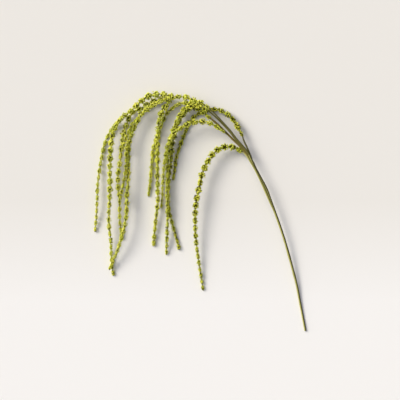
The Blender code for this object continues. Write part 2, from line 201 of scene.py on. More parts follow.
# Linear colours of its fine streaks, and the yellow and brown that stems go over to
BARK_COLOURS = ((0.3, (0.016, 0.018, 0.001)), (0.7, (0.060, 0.060, 0.005)))
BARK_YELLOW = (0.60, 0.575, 0.18)
BARK_BROWN = (0.17, 0.11, 0.014)
BARK_ROUGHNESS = 0.48
BARK_SPECULAR = 0.2
STREAK_SCALE = 260.0
STREAK_DETAIL = 4.0
STREAK_BUMP = 0.35
STREAK_HEIGHT = 0.0004
# How far a rib's crest goes towards yellow, how sharply the painted light on one side of a
# stem is set off from the painted shade on the other, and how far the edge between them
# lies past the top, as a cosine
RIB_FLUSH = 0.10
PAINTED_LIGHT_EDGE = 2.2
PAINTED_SHADE_TURN = 0.15
# How yellow each stem is, how brown, and how much painted light makes its left side, seen
# from root to tip, yellower and painted shade makes its right side darker
STEM_LOOKS = {
    "stalk": (0.32, 0.10, 0.95), "outer": (0.10, 0.10, 0.4), "bent": (0.08, 0.10, 0.4),
    "dark": (0.12, 0.60, 0.4), "bright": (0.25, 0.3, 0.5), "low": (0.05, 0.1, 0.3),
    "single": (0.50, 0.1, 0.6)}

# Floor: flat to TABLE_FLAT from the middle, then up by TABLE_RISE at TABLE_REACH, so that
# it also fills a low view. It lies TABLE_DROP under the part, so that the two don't touch.
TABLE_FLAT = 12.0
TABLE_REACH = 30.0
TABLE_RISE = 4.0
TABLE_SIDES = 64
TABLE_ROWS = 10
TABLE_DROP = 0.0001
# Its colours run from TABLE_FADE[0] along Y to TABLE_FADE[1], lighter towards the bottom of
# the view as painted light.
TABLE_FADE = (-0.18, 0.02)
TABLE_COLOURS = ((0.0, (0.85, 0.827, 0.814)), (1.0, (0.774, 0.744, 0.710)))
TABLE_ROUGHNESS = 0.9
TABLE_SPECULAR = 0.1

# Lights: strength in W/m2, angles in degrees, and the way they shine in plan
KEY = dict(strength=2.6, spread=28.0, elevation=37.0, heading=(1.0, -0.6))
BROAD = dict(strength=1.4, spread=85.0, elevation=46.0, heading=(1.0, -0.7))
KEY_COLOUR = (1.02, 0.985, 0.885)
SURROUND_COLOUR = (0.91, 0.985, 1.22)
SURROUND_STRENGTH = 0.276

# Camera
LENS = 100.0
SENSOR = 36.0

# A Mix node's sockets for colours, by number because others have the same names
MIX_A = 6
MIX_B = 7
MIX_RESULT = 2
# Least length that a vector is divided by
TINY = 1e-12

# Each route runs from the root to the tip, as (u, v, height in mm, radius in mm).
STALK = [
    (305, 330.3, 1.8, 2.0), (302.1, 315, 1.8, 2.1), (299.2, 300, 3, 2.2),
    (296.4, 285, 5.6, 2.35), (292.6, 270, 8.6, 2.4), (288.5, 255, 11.4, 2.4),
    (284.2, 240, 13.8, 2.3), (279.3, 225, 15.6, 2.45), (274.6, 212, 17, 2.6),
    (270.3, 200, 18, 2.3), (266.6, 190, 18.8, 2.5), (261.6, 180, 19.4, 2.3),
    (256.2, 170, 19.8, 2.3), (251.2, 160, 20.2, 2.3), (248.6, 154.5, 20.4, 2.0),
]
# The clusters of a strand start at its control point number bare. Its first
# clusters, as many as crown says, belong to the crown, where strands meet. Between
# two clusters it narrows to a neck, which is a share of their radius.
STRANDS = {
    "outer": dict(seed=11, bare=7, crown=7, neck=0.42, points=[
        (250.6, 157, 20.4, 1.6), (246.2, 150.3, 21.6, 1.6), (241.8, 145, 22.2, 1.6),
        (237.4, 140, 22.8, 1.6), (229.6, 130, 24, 1.6), (220.6, 120, 25, 1.55),
        (214.4, 113.4, 25.4, 1.5), (208.9, 108, 25.6, 1.5),
        (204, 105, 25.8, 5.6), (198, 102, 25.6, 6.2), (191.5, 99.5, 24.6, 6.2),
        (184.5, 96.6, 23, 6.0), (178.5, 96, 22, 5.4), (172.5, 97, 21, 6.0),
        (165.5, 94.6, 20.2, 6.4), (155.3, 93.9, 19.6, 6.3), (146.1, 96.5, 19.4, 6.2),
        (139, 102, 19.4, 5.9), (132.5, 108.4, 19.6, 5.8), (121.2, 117.6, 20, 5.4),
        (115.2, 125.6, 20.2, 5.3), (112, 134.6, 20.4, 5.3), (110.2, 150, 20.6, 5.4),
        (109.3, 166, 20.6, 5.4), (109.5, 183, 20.4, 5.2), (109.1, 198.5, 19.8, 4.9),
        (108.3, 213, 18.8, 4.3), (108.5, 226, 17, 4.1), (110.2, 240, 12.6, 3.8),
        (110.6, 252, 6.2, 3.7), (111.6, 265, 3.1, 3.4), (113, 275.5, 2.7, 3.2)]),
    "edge": dict(seed=12, bare=0, crown=0, neck=0.46, points=[
        (123, 116.2, 18, 4.2), (118.4, 120.4, 12.6, 4.6), (111.8, 128, 6.8, 4.6),
        (107, 135.8, 4.8, 4.4), (103.2, 146.5, 4, 4.1), (101, 156.5, 5, 4.0),
        (99.2, 168.5, 7.6, 3.8), (97.5, 181, 11, 3.6), (96.8, 193, 13.2, 3.5),
        (96.3, 205, 12.4, 3.3), (95.8, 216, 8.6, 3.1), (95, 225, 5, 3.0),
        (94.4, 231.5, 2.6, 2.8)]),
    "middle": dict(seed=13, bare=0, crown=2, neck=0.42, points=[
        (171.5, 97.3, 17, 5.0), (164, 98.8, 13.5, 6.0), (157, 100, 10.5, 6.0),
        (148, 103.4, 8.6, 6.0), (142.3, 107.6, 8, 5.2), (135.5, 110, 8, 4.6),
        (130, 114, 8.2, 5.8), (127, 121, 9, 5.5), (124, 129, 10.4, 5.3),
        (121.8, 138, 11.8, 5.1), (121, 146, 12.8, 4.9), (119.5, 161.5, 14, 4.8),
        (117.3, 177, 14.4, 4.6), (117.7, 189, 14, 4.5), (119, 202, 12.8, 4.1),
        (119, 214, 10.6, 3.8), (120, 228, 6.6, 3.6), (121, 239, 2.8, 3.1)]),
    "inner": dict(seed=14, bare=0, crown=2, neck=0.66, points=[
        (170, 97.8, 22, 4.2), (163, 100, 25.5, 5.0), (156.5, 102.7, 25, 5.3),
        (148.5, 107.6, 22.5, 5.6), (143, 111, 21, 5.6), (139.2, 115.5, 20.2, 5.6),
        (136.4, 122, 19.8, 5.2), (133.1, 128.5, 20, 5.0), (129.2, 140, 20.5, 4.9),
        (128, 150, 21, 5.0), (127.9, 163, 21.4, 5.1), (127.5, 178, 21.6, 5.1),
        (126.5, 195, 21.6, 4.8), (126.1, 209, 21.8, 4.5), (124.7, 222, 22, 4.2),
        (122, 234, 21.4, 4.0), (117.5, 248.5, 17.5, 3.7), (113, 259.5, 12, 3.4),
        (111, 264.3, 9.6, 3.1), (108.6, 269.5, 7.2, 3.1)]),
    "inner_fork": dict(seed=15, bare=0, crown=0, neck=0.50, points=[
        (131.5, 133.5, 19.7, 2.7), (127.6, 140, 24, 3.4), (126, 149, 25.6, 3.5),
        (125.6, 163, 26.2, 3.5), (124.6, 174, 26.2, 3.5), (122.3, 185.5, 25.4, 3.4),
        (120.6, 193.5, 23.8, 3.2), (119.2, 200, 22, 2.9)]),
    "inner_twig": dict(seed=16, bare=0, crown=0, neck=0.50, points=[
        (138.5, 117, 19.8, 3.4), (132.6, 122.6, 21.6, 4.0), (128.9, 130, 22.6, 4.2),
        (125.3, 138, 23.4, 3.9), (122.3, 147, 23.6, 3.4)]),
    "thick": dict(seed=17, bare=0, crown=1, neck=0.55, points=[
        (170.5, 97, 19, 4.8), (168.6, 99.5, 19, 5.8), (166.6, 104.3, 18.6, 6.0),
        (162.5, 109, 18.4, 5.8), (159.6, 116, 18.2, 5.5), (157.9, 125.5, 17.8, 5.3),
        (157, 136, 17.4, 5.4), (156.8, 150, 16.8, 5.4), (156.9, 165, 16, 5.2),
        (156.9, 180, 14.8, 5.0), (157.3, 200, 12.4, 4.7), (155.9, 214, 10, 4.3),
        (154.2, 230, 6.8, 4.0), (152.8, 246, 2.8, 3.4)]),
    "thin": dict(seed=18, bare=0, crown=2, neck=0.60, points=[
        (196, 104.2, 24, 4.8), (189.5, 102.6, 22.4, 5.6), (183, 102.6, 19.6, 5.2),
        (176.5, 104.3, 15, 4.2), (171, 108.5, 10.8, 4.9), (166, 113.2, 7.2, 4.5),
        (163, 119, 5.2, 4.4), (160, 127, 4.6, 4.3), (155.7, 138.5, 4.4, 4.4),
        (152.6, 150, 4.6, 4.3), (151.4, 161, 5, 4.1), (150.2, 175, 5.4, 3.8),
        (149.2, 186, 4.4, 3.5), (147.8, 196, 2.4, 2.9)]),
    "bent": dict(seed=19, bare=6, crown=3, neck=0.55, points=[
        (250, 157, 20, 1.5), (245, 150.3, 21, 1.5), (236.2, 140.4, 22.2, 1.5),
        (228.4, 130.4, 23.4, 1.5), (218.7, 120.2, 24.4, 1.5),
        (212.2, 114, 24.8, 1.4), (207.6, 110.2, 25.4, 1.4),
        (203.4, 108, 26.2, 5.4), (197.5, 105.6, 27, 6.0),
        (190.6, 105, 25.6, 6.0), (184.2, 108.4, 23.6, 5.8), (179.4, 115, 21.6, 5.5),
        (175.7, 122, 20.4, 5.3), (171.9, 132.5, 19.6, 5.2), (169, 142, 18.8, 5.1),
        (167.6, 152, 18, 4.9), (167, 165, 17.4, 4.5), (166.7, 180, 16.8, 4.2),
        (166.8, 200, 15.8, 4.1), (167, 220, 14, 4.0), (166.5, 236, 10.8, 3.9),
        (166, 247, 6.4, 3.6), (165.8, 254.5, 2.4, 3.1)]),
    "dark": dict(seed=20, bare=6, crown=0, neck=0.55, points=[
        (249.4, 158, 19.6, 1.8), (244.4, 151, 20.2, 2.0), (238.9, 145, 20.4, 2.1),
        (233.5, 140, 20.6, 2.1), (223.4, 130, 20.8, 2.1), (214.4, 121.5, 20.6, 2.1),
        (209.8, 117.8, 20.2, 1.9), (205, 114, 18.8, 5.5), (199, 109, 16, 5.8),
        (192.6, 107.4, 12.6, 5.5),
        (187.4, 109.4, 10.6, 5.3), (183, 114, 9.6, 5.1), (179, 121, 9, 5.0),
        (175.5, 130, 8.8, 5.0), (172.6, 140, 8.8, 5.0), (171, 152, 8.8, 4.8),
        (170, 165, 8.4, 4.5), (168.3, 178, 8, 4.1), (167.7, 192, 7.2, 3.9),
        (168.3, 206, 6, 3.8), (170.4, 218.5, 4.8, 3.7), (174.3, 232, 3.8, 3.6),
        (177.6, 244.5, 3.1, 3.3), (178.8, 249.5, 2.7, 3.0)]),
    "bright": dict(seed=21, bare=2, crown=0, neck=0.52, points=[
        (228.4, 135, 20.9, 1.4), (226, 133.4, 22.6, 1.4), (224.4, 132, 25, 1.4),
        (219.3, 128.8, 28, 4.6), (212.4, 124, 28.4, 4.9), (204, 121.2, 28.2, 5.2),
        (195, 121.6, 27.6, 5.3), (187, 124, 28.2, 5.2), (180, 127.6, 28.6, 5.1),
        (173.2, 133.4, 29.6, 5.1), (168.4, 142, 29.4, 4.9), (165.6, 155, 27.6, 4.5),
        (163.4, 168, 23.8, 3.9), (162.3, 183, 16.8, 3.3), (161.7, 197, 8, 2.8),
        (160.5, 208, 1.9, 2.6)]),
    "low": dict(seed=22, bare=5, crown=0, neck=0.62, points=[
        (251.2, 158.5, 20.2, 1.6), (249.5, 154, 19.8, 1.6), (247.8, 150, 19.2, 1.6),
        (245.6, 145, 18, 1.6), (243.3, 140, 16.6, 1.6), (241.8, 135.4, 15.4, 1.6),
        (239.4, 130.6, 14.2, 5.4), (234.3, 121.5, 12.6, 5.2), (229.2, 115.5, 10.6, 5.2),
        (222.5, 110.8, 7.8, 4.8), (216, 109, 5.4, 4.5), (208.5, 109.6, 4.3, 4.0),
        (202, 111.8, 4.2, 4.2), (195, 115, 4.2, 4.3), (190.2, 119.6, 4, 4.2),
        (186.2, 128, 3.9, 4.2), (182.4, 137.5, 3.8, 4.1), (178.6, 148, 3.7, 4.0),
        (175.6, 158, 3.6, 3.9), (174.2, 169, 3.3, 3.6), (172.3, 180, 2.8, 3.1)]),
    "single": dict(seed=23, bare=7, crown=0, neck=0.40, points=[
        (273.8, 211, 18, 1.5), (268.8, 200, 20, 1.7), (264.5, 190, 21.2, 2.0),
        (259.9, 180, 21.8, 1.8), (255.1, 170, 22, 1.7), (249.5, 160.5, 21.8, 1.7),
        (245.6, 154.4, 19.4, 1.7), (241.8, 151.1, 14.4, 1.8), (239.6, 149.8, 13.6, 4.5),
        (236, 147.8, 13.8, 5.2), (229.8, 146.1, 16.4, 6.2), (220.7, 147.4, 19.4, 6.1),
        (212.9, 153, 21.4, 6.3),
        (207, 161.2, 22, 6.2), (201.9, 172.8, 22.4, 6.2), (197.9, 190, 22.8, 5.9),
        (195.1, 206, 22.4, 5.2), (194.6, 220, 21, 4.7), (195.1, 235, 17.8, 4.3),
        (196.9, 252, 12.8, 3.9), (199.4, 269, 7.4, 3.6), (202.8, 290, 2.2, 2.9)]),
}
# Every node of clusters and the strands that are fused in it.
TASSELS = {
    "tassel_1": ("outer", "edge"),
    "tassel_2": ("middle",),
    "tassel_3": ("inner", "inner_fork", "inner_twig"),
    "tassel_4": ("thin",),
    "tassel_5": ("thick",),
    "tassel_6": ("bright",),
    "tassel_7": ("bent",),
    "tassel_8": ("dark",),
    "tassel_9": ("low",),
    "tassel_10": ("single",),
}


def place(u, v, height, radius):
    """A plan point, with height and radius in mm, as x, y, z and radius in metres."""
    z = height / 1000
    nearer = 1 - z / EYE_HEIGHT
    x = (EYE_AT[0] - ORIGIN_AT[0] + (u - EYE_AT[0]) * nearer) * PLAN_STEP
    y = (ORIGIN_AT[1] - EYE_AT[1] - (v - EYE_AT[1]) * nearer) * PLAN_STEP
    return x, y, z, radius / 1000


class Route:
    """A smooth curve through control points, read by its length from the root."""

    def __init__(self, points):
        p = np.array([place(*point) for point in points])
        gaps = np.linalg.norm(np.diff(p[:, :3], axis=0), axis=1)
        knots = np.concatenate(([0], np.cumsum(gaps)))
        slope = np.gradient(p, knots, axis=0)
        t = np.linspace(0, knots[-1], int(knots[-1] / ROUTE_STEP) + 2)
        i = np.clip(np.searchsorted(knots, t, side="right") - 1, 0, len(knots) - 2)
        span = knots[i + 1] - knots[i]
        f = ((t - knots[i]) / span)[:, None]
        h = span[:, None]
        self.p = ((2 * f**3 - 3 * f**2 + 1) * p[i] + (f**3 - 2 * f**2 + f) * h * slope[i]
                  + (3 * f**2 - 2 * f**3) * p[i + 1] + (f**3 - f**2) * h * slope[i + 1])
        steps = np.linalg.norm(np.diff(self.p[:, :3], axis=0), axis=1)
        self.s = np.concatenate(([0], np.cumsum(steps)))
        # Each control point's own place along the curve
        self.knots = np.interp(knots, t, self.s)
        self.length = self.s[-1]

    def centre(self, s):
        """Points of the curve at lengths s."""
        return np.stack([np.interp(s, self.s, self.p[:, k]) for k in range(3)], axis=-1)

    def radius(self, s):
        """The string's radius at lengths s."""
        return np.interp(s, self.s, self.p[:, 3])

    def axes(self, s):
        """Units along the curve, sideways and upward, at lengths s."""
        ahead = self.centre(np.minimum(s + AIM, self.length))
        along = unit(ahead - self.centre(np.maximum(s - AIM, 0)))
        side = unit(np.cross(along, (0, 0, 1)))
        return along, side, np.cross(side, along)


def unit(v):
    """Vectors of length 1 in the directions of others."""
    return v / np.maximum(np.linalg.norm(v, axis=-1, keepdims=True), TINY)


def eased(t):
    """Shares from 0 to 1 with a soft start and end."""
    return t * t * (3 - 2 * t)


def clusters_on(route, start):
    """Where the clusters of a route begin and how long each is."""
    spans = []
    s = start
    while s < route.length - LEAST_RUN:
        pitch = min(MAX_PITCH, LEAST_PITCH + PITCH_PER_RADIUS * route.radius(s + LOOK_AHEAD))
        spans.append((s, pitch))
        s += pitch
    stretch = (route.length - start) / (s - start)
    return [(start + (a - start) * stretch, pitch * stretch) for a, pitch in spans]


class Surface:
    """The lumpy skin of a run of clusters: a radius for each length and angle."""

    def __init__(self, route, spans, seed, neck_share, fuller):
        draw = random.Random(seed)
        rows = []
        turn = draw.uniform(0, math.pi)
        for begin, pitch in spans:
            radius = float(route.radius(begin + 0.5 * pitch))
            narrowing = neck_share + draw.uniform(-NECK_SPREAD, NECK_SPREAD)
            neck = max(radius * narrowing, LEAST_NECK)
            rows.append((begin, [neck] * CLUSTER_SIDES, turn))
            radius *= 1 + draw.uniform(-SIZE_SPREAD, SIZE_SPREAD)
            shape = SMALL_RINGS if radius < SMALL_RADIUS else CLUSTER_RINGS
            for row, (share, width) in enumerate(shape):
                radii = []
                for k in range(CLUSTER_SIDES):
                    level = PEAK if (k + row) % 2 == 0 else VALLEY
                    radii.append(radius * width * level * (1 + draw.uniform(-JITTER, JITTER)))
                slide = draw.uniform(-RING_SLIDE, RING_SLIDE)
                rows.append((begin + (share + slide) * pitch, radii, turn))
                turn += draw.uniform(-RING_TURN, RING_TURN)
        begin, pitch = spans[-1]
        rows.append((begin + pitch, [LEAST_NECK] * CLUSTER_SIDES, turn))
        self.route, self.fuller = route, fuller
        self.s = np.array([row[0] for row in rows])
        self.radii = np.array([row[1] for row in rows])
        self.turns = np.array([row[2] for row in rows])
        self.first, self.last = self.s[0], self.s[-1]

    def radius(self, s, angle):
        """Radius at lengths and angles, smooth between the solid's raised points."""
        j = np.clip(np.searchsorted(self.s, s, side="right") - 1, 0, len(self.s) - 2)
        t = eased((s - self.s[j]) / (self.s[j + 1] - self.s[j]))
        return (1 - t) * self.in_row(j, angle) + t * self.in_row(j + 1, angle)

    def in_row(self, j, angle):
        """Radius at angles in the rows of number j."""
        step = ((angle - self.turns[j]) / (2 * math.pi) * CLUSTER_SIDES) % CLUSTER_SIDES
        k = np.floor(step).astype(int) % CLUSTER_SIDES
        t = eased(step - np.floor(step))
        return (1 - t) * self.radii[j, k] + t * self.radii[j, (k + 1) % CLUSTER_SIDES]

    def mean(self, s):
        """Mean radius at lengths."""
        return np.interp(s, self.s, self.radii.mean(axis=1))

    def slope(self, s):
        """How fast the mean radius grows along the run."""
        return (self.mean(s + SKIN_STEP) - self.mean(s - SKIN_STEP)) / (2 * SKIN_STEP)

    def thickness(self, s):
        """The string's radius as a share of a thick string's, at most 1."""
        return np.minimum(self.route.radius(s) / THICK_STRING, 1)

    def reach(self, s, angle):
        """How far florets stand out: past the skin, but less so towards the necks."""
        skin, thick = self.radius(s, angle), self.thickness(s)
        beaded = skin * np.minimum(skin / self.route.radius(s), 1) ** BEADING
        return beaded * (FLORET_REACH + self.fuller * thick) + THIN_REACH * (1 - thick)

    def spots(self, s, angle):
        """Points on the skin and their outward directions."""
        _, side, up = self.route.axes(s)
        outward = np.cos(angle)[:, None] * side + np.sin(angle)[:, None] * up
        return self.route.centre(s) + outward * self.radius(s, angle)[:, None], outward


class Gathered:
    """Vertices, faces and two values of each vertex, gathered for one piece."""

    def __init__(self, layers):
        self.layers = layers
        self.points, self.faces, self.values = [], [], []
        self.count = 0

    def add(self, points, faces, values):
        """points (n, 3), faces (m, 3) and values (n, 2), one for each layer."""
        self.points.append(points)
        self.faces.append(faces + self.count)
        self.values.append(values)
        self.count += len(points)

    def piece(self, name, look, node, slot):
        """Makes the gathered mesh a piece that stands for a node."""
        points = np.concatenate(self.points).astype(np.float32)
        faces = np.concatenate(self.faces).astype(np.int32)
        values = np.concatenate(self.values).astype(np.float32)
        data = bpy.data.meshes.new(name)
        data.vertices.add(len(points))
        data.vertices.foreach_set("co", points.ravel())
        data.loops.add(faces.size)
        data.loops.foreach_set("vertex_index", faces.ravel())
        data.polygons.add(len(faces))
        data.polygons.foreach_set("loop_start", np.arange(0, faces.size, 3, dtype=np.int32))
        data.update(calc_edges=True)
        for k, attribute in enumerate(self.layers):
            layer = data.attributes.new(attribute, "FLOAT", "POINT")
            layer.data.foreach_set("value", np.ascontiguousarray(values[:, k]))
        data.materials.append(look)
        made = in_scene(name, data)
        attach(made, "root")
        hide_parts(node)
        print(name, len(faces), "triangles")


def in_scene(name, data):
    """A new object of the scene."""
    made = bpy.data.objects.new(name, data)
    bpy.context.scene.collection.objects.link(made)
    return made


def tube(sides, centre):
    """Points and triangles of a closed tube.

    sides has one line of points for each side, centre the points of the middle line.
    """
    rings = on_table(np.stack(sides, 1))
    m, n = rings.shape[:2]
    points = np.concatenate((rings.reshape(-1, 3), centre[[0, -1]]))
    i, k = np.meshgrid(np.arange(m - 1), np.arange(n), indexing="ij")
    a, b = i * n + k, i * n + (k + 1) % n
    c, d = b + n, a + n
    skin = np.concatenate((np.stack((a, b, c), -1).reshape(-1, 3),
                           np.stack((a, c, d), -1).reshape(-1, 3)))
    k = np.arange(n)
    first = np.stack(((k + 1) % n, k, np.full(n, m * n)), -1)
    last = np.stack((k + (m - 1) * n, (k + 1) % n + (m - 1) * n, np.full(n, m * n + 1)), -1)
    return points, np.concatenate((skin, first, last))


def on_table(points):
    """The same points, with none below the table."""
    points[..., 2] = np.maximum(points[..., 2], 0.0)
    return points


def around(sides):
    """The angles of evenly spread sides."""
    return np.arange(sides) * 2 * math.pi / sides


def spread_on(surface, area, loose, rng):
    """Lengths and angles of spots on a loosened golden spiral.

    Each spot has an equal area of a thick string, and a smaller one of a thin string.
    """
    fine = np.arange(surface.first, surface.last, SKIN_STEP)
    mean = surface.mean(fine)
    skin = 2 * math.pi * mean * np.hypot(1, np.gradient(mean, fine)) * SKIN_STEP
    covered = np.cumsum(skin / (area * surface.thickness(fine)))
    count = max(LEAST_SPOTS, int(covered[-1]))
    s = np.interp((np.arange(count) + 0.5) * covered[-1] / count, covered, fine)
    s = s + rng.normal(0, loose * math.sqrt(area), count)
    stray = TURN_LOOSE * loose
    angle = np.arange(count) * GOLDEN_ANGLE + rng.uniform(-stray, stray, count)
    return np.clip(s, surface.first, surface.last), angle


def floret_length(radius, skin):
    """Length of florets, before they differ, where string and skin have these radii."""
    return np.minimum(FLORET_BASE + FLORET_SHARE * radius, FLORET_MOST * skin)


def floret_shape():
    """A closed bud of unit length along +Z: waist, three bracts, foot and cup.

    Returns its points, its triangles and each point's share of the way to a tip.
    """
    half = FLORET_SIDES // 2
    waist, lip = np.array(WAIST * half), np.array((BRACT, CLEFT) * half)
    radius, height, tips = np.concatenate((waist, lip, (FOOT, CUP))).T
    angle = np.concatenate((around(FLORET_SIDES), around(FLORET_SIDES), (0, 0)))
    points = np.stack((radius * np.cos(angle), radius * np.sin(angle), height), -1)
    foot, cup = 2 * FLORET_SIDES, 2 * FLORET_SIDES + 1
    faces = []
    for k in range(FLORET_SIDES):
        e = (k + 1) % FLORET_SIDES
        over, over_e = FLORET_SIDES + k, FLORET_SIDES + e
        faces += [(foot, e, k), (k, e, over_e), (k, over_e, over), (over, over_e, cup)]
    return points, np.array(faces), tips


def add_buds(mesh, foot, axis, length, ripe_and_shade, rng):
    """Florets from their feet along their axes, each turned at random about its own."""
    count = len(foot)
    across = unit(np.cross(axis, rng.normal(0, 1, (count, 3))))
    third = np.cross(axis, across)
    width = length * FLORET_WIDTH * rng.uniform(*WIDTH_RANGE, count)
    shape, faces, tips = floret_shape()
    points = (foot[:, None] + shape[None, :, 0, None] * (width[:, None] * across)[:, None]
              + shape[None, :, 1, None] * (width[:, None] * third)[:, None]
              + shape[None, :, 2, None] * (length[:, None] * axis)[:, None])
    ripe_and_shade = np.clip(ripe_and_shade + rng.uniform(-RIPE_SPREAD, RIPE_SPREAD, count), 0, 1)
    values = np.stack((np.repeat(tips[None], count, axis=0),
                       np.repeat(ripe_and_shade[:, None], len(shape), axis=1)), -1)
    index = np.arange(count)[:, None, None] * len(shape) + faces[None]
    mesh.add(on_table(points).reshape(-1, 3), index.reshape(-1, 3), values.reshape(-1, 2))


def add_florets(mesh, surface, seed, ripeness_and_shade):
    """Florets all over a run of clusters, leaning out of the small tufts they sit in."""
    rng = np.random.default_rng(seed)
    middles, _ = surface.spots(*spread_on(surface, TUFT_AREA, TUFT_LOOSE, rng))
    bright = rng.uniform(0, 1, len(middles)) ** TUFT_BIAS
    s, angle = spread_on(surface, FLORET_AREA, FLORET_LOOSE, rng)
    count = len(s)
    spots, outward = surface.spots(s, angle)
    skin, thick = surface.radius(s, angle), surface.thickness(s)
    # A floret belongs to the nearest tuft. out runs from that tuft's middle to the floret
    # and is 1 long at the rim, and inner falls from 1 in the middle to 0 there.
    apart = spots[:, None] - middles[None]
    tuft = np.argmin((apart ** 2).sum(-1), axis=1)
    out = apart[np.arange(count), tuft] / (TUFT_RADIUS * np.sqrt(thick))[:, None]
    inner = np.clip(1 - (out ** 2).sum(-1), 0, 1)
    length = floret_length(surface.route.radius(s), skin) * rng.uniform(*LENGTH_RANGE, count)
    along, _, _ = surface.route.axes(s)
    drop = np.clip(surface.slope(s), -STEEPEST, STEEPEST)[:, None]
    axis = unit(outward + (FLORET_LEAN - drop) * along + TUFT_LEAN * out
                + rng.normal(0, FLORET_SCATTER, (count, 3)))
    rise = (TUFT_TOP - TUFT_RISE * (1 - inner)) * np.minimum(skin / THICK_STRING, 1)
    reach = surface.reach(s, angle) + rise
    foot = spots + outward * (reach - skin)[:, None] - axis * length[:, None]
    kept = (foot[:, 2] > LEAST_HEIGHT) & (inner > TUFT_RIM * (2 * thick - 1))
    # Florets get painted light in a tuft's middle and painted shade towards its rim, on top of
    # the tuft's random share and the strand's offset
    ripe_and_shade = TUFT_SHARE * bright[tuft] + (1 - TUFT_SHARE) * inner + ripeness_and_shade
    add_buds(mesh, foot[kept], axis[kept], length[kept], ripe_and_shade[kept], rng)


def add_core(mesh, surface):
    """The string of cluster cores that the florets stand on, dark with painted shade."""
    rows = max(LEAST_ROWS, round((surface.last - surface.first) / CORE_STEP))
    s = np.linspace(surface.first, surface.last, rows)
    centre, radius = surface.route.centre(s), surface.route.radius(s)
    _, side, up = surface.route.axes(s)
    sides = []
    for angle in around(CORE_SIDES):
        same = np.full(rows, angle)
        floret = floret_length(radius, surface.radius(s, same))
        core = np.maximum(surface.reach(s, same) - floret - CORE_DEPTH, LEAST_CORE)
        outward = math.cos(angle) * side + math.sin(angle) * up
        sides.append(centre + outward * core[:, None])
    points, faces = tube(sides, centre)
    # The core takes the painted shade of a floret's foot.
    mesh.add(points, faces, np.tile((CORE_PAINTED_SHADE, CORE_RIPE), (len(points), 1)))


def add_bark(mesh, route, end, look, seed):
    """A ribbed stem from the root of a route to a length along it, with low knobs, painted light
    on its left side and painted shade on its right.
    """
    yellow, brown, painted_light_share = look
    rng = np.random.default_rng(seed)
    rows = max(LEAST_ROWS, round(end / BARK_STEP))
    s = np.linspace(0, end, rows)
    centre, radius = route.centre(s), route.radius(s)
    _, side, up = route.axes(s)
    swell = np.ones(rows)
    for knob in rng.uniform(0, end, max(1, int(end / KNOB_SPACING))):
        swell += KNOB_HEIGHT * np.exp(-((s - knob) / KNOB_LENGTH) ** 2)
    sides, values = [], []
    for angle in around(BARK_SIDES):
        rib = np.cos(BARK_RIBS * (angle + BARK_TWIST * s))
        outward = math.cos(angle) * side + math.sin(angle) * up
        sides.append(centre + outward * (radius * swell * (1 + BARK_RIB_DEPTH * rib))[:, None])
        # Painted light and shade: from 0 on the right side, seen from root to tip, to 1 on the
        # left
        painted_light_side = 0.5 - 0.5 * math.tanh(PAINTED_LIGHT_EDGE * (math.cos(angle) + PAINTED_SHADE_TURN))
        tone_and_painted_light = yellow + painted_light_share * (painted_light_side - 0.5) + RIB_FLUSH * rib
        values.append(np.stack((np.clip(tone_and_painted_light, 0, 1), np.full(rows, brown)), -1))
    points, faces = tube(sides, centre)
    values = np.concatenate((np.stack(values, 1).reshape(-1, 2), [(yellow, brown)] * 2))
    mesh.add(points, faces, values)


def material(name, roughness, specular):
    """A Principled material, its nodes and links, and the node of its surface."""
    made = bpy.data.materials.new(name)
    made.use_nodes = True
    nodes, links = made.node_tree.nodes, made.node_tree.links
    surface = nodes["Principled BSDF"]
    surface.inputs["Roughness"].default_value = roughness
    surface.inputs["Specular IOR Level"].default_value = specular
    return made, nodes, links, surface


def attribute(nodes, name):
    """A layer of the mesh, as a number."""
    made = nodes.new("ShaderNodeAttribute")
    made.attribute_name = name
    return made.outputs["Fac"]


def noise(nodes, links, scale, detail):
    """Noise in the piece's own space."""
    where = nodes.new("ShaderNodeTexCoord")
    made = nodes.new("ShaderNodeTexNoise")
    made.inputs["Scale"].default_value = scale
    made.inputs["Detail"].default_value = detail
    links.new(where.outputs["Object"], made.inputs["Vector"])
    return made.outputs["Fac"]


def ramp(nodes, links, value, stops):
    """The colour of a number on a ramp through (position, linear colour) stops."""
    made = nodes.new("ShaderNodeValToRGB")
    while len(made.color_ramp.elements) < len(stops):
        made.color_ramp.elements.new(0.5)
    for element, (position, colour) in zip(made.color_ramp.elements, stops):
        element.position = position
        element.color = (*colour, 1.0)
    links.new(value, made.inputs["Fac"])
    return made.outputs["Color"]


def tinted(nodes, links, base, tint):
    """A colour times another one."""
    made = nodes.new("ShaderNodeMix")
    made.data_type = "RGBA"
    made.blend_type = "MULTIPLY"
    made.inputs["Factor"].default_value = 1.0
    links.new(base, made.inputs[MIX_A])
    links.new(tint, made.inputs[MIX_B])
    return made.outputs[MIX_RESULT]


def turned_to(nodes, links, base, colour, amount):
    """A colour that goes over to a plain one by an amount."""
    made = nodes.new("ShaderNodeMix")
    made.data_type = "RGBA"
    made.inputs[MIX_B].default_value = (*colour, 1.0)
    links.new(amount, made.inputs["Factor"])
    links.new(base, made.inputs[MIX_A])
    return made.outputs[MIX_RESULT]


def floret_material():
    """Yellow-green bracts, darkening to painted shade where a floret joins its cluster, with
    painted light and shade on each tuft.
    """
    made, nodes, links, surface = material("floret_green", FLORET_ROUGHNESS, FLORET_SPECULAR)
    tip, ripe_and_shade = [attribute(nodes, layer) for layer in FLORET_LAYERS]
    by_tip = ramp(nodes, links, tip, TIP_COLOURS_AND_SHADE)
    by_ripe = ramp(nodes, links, ripe_and_shade, RIPE_AND_SHADE_TINTS)
    by_patch = ramp(nodes, links, noise(nodes, links, PATCH_SCALE, PATCH_DETAIL), PATCH_TINTS)
    mixed = tinted(nodes, links, tinted(nodes, links, by_tip, by_ripe), by_patch)
    links.new(mixed, surface.inputs["Base Color"])
    return made


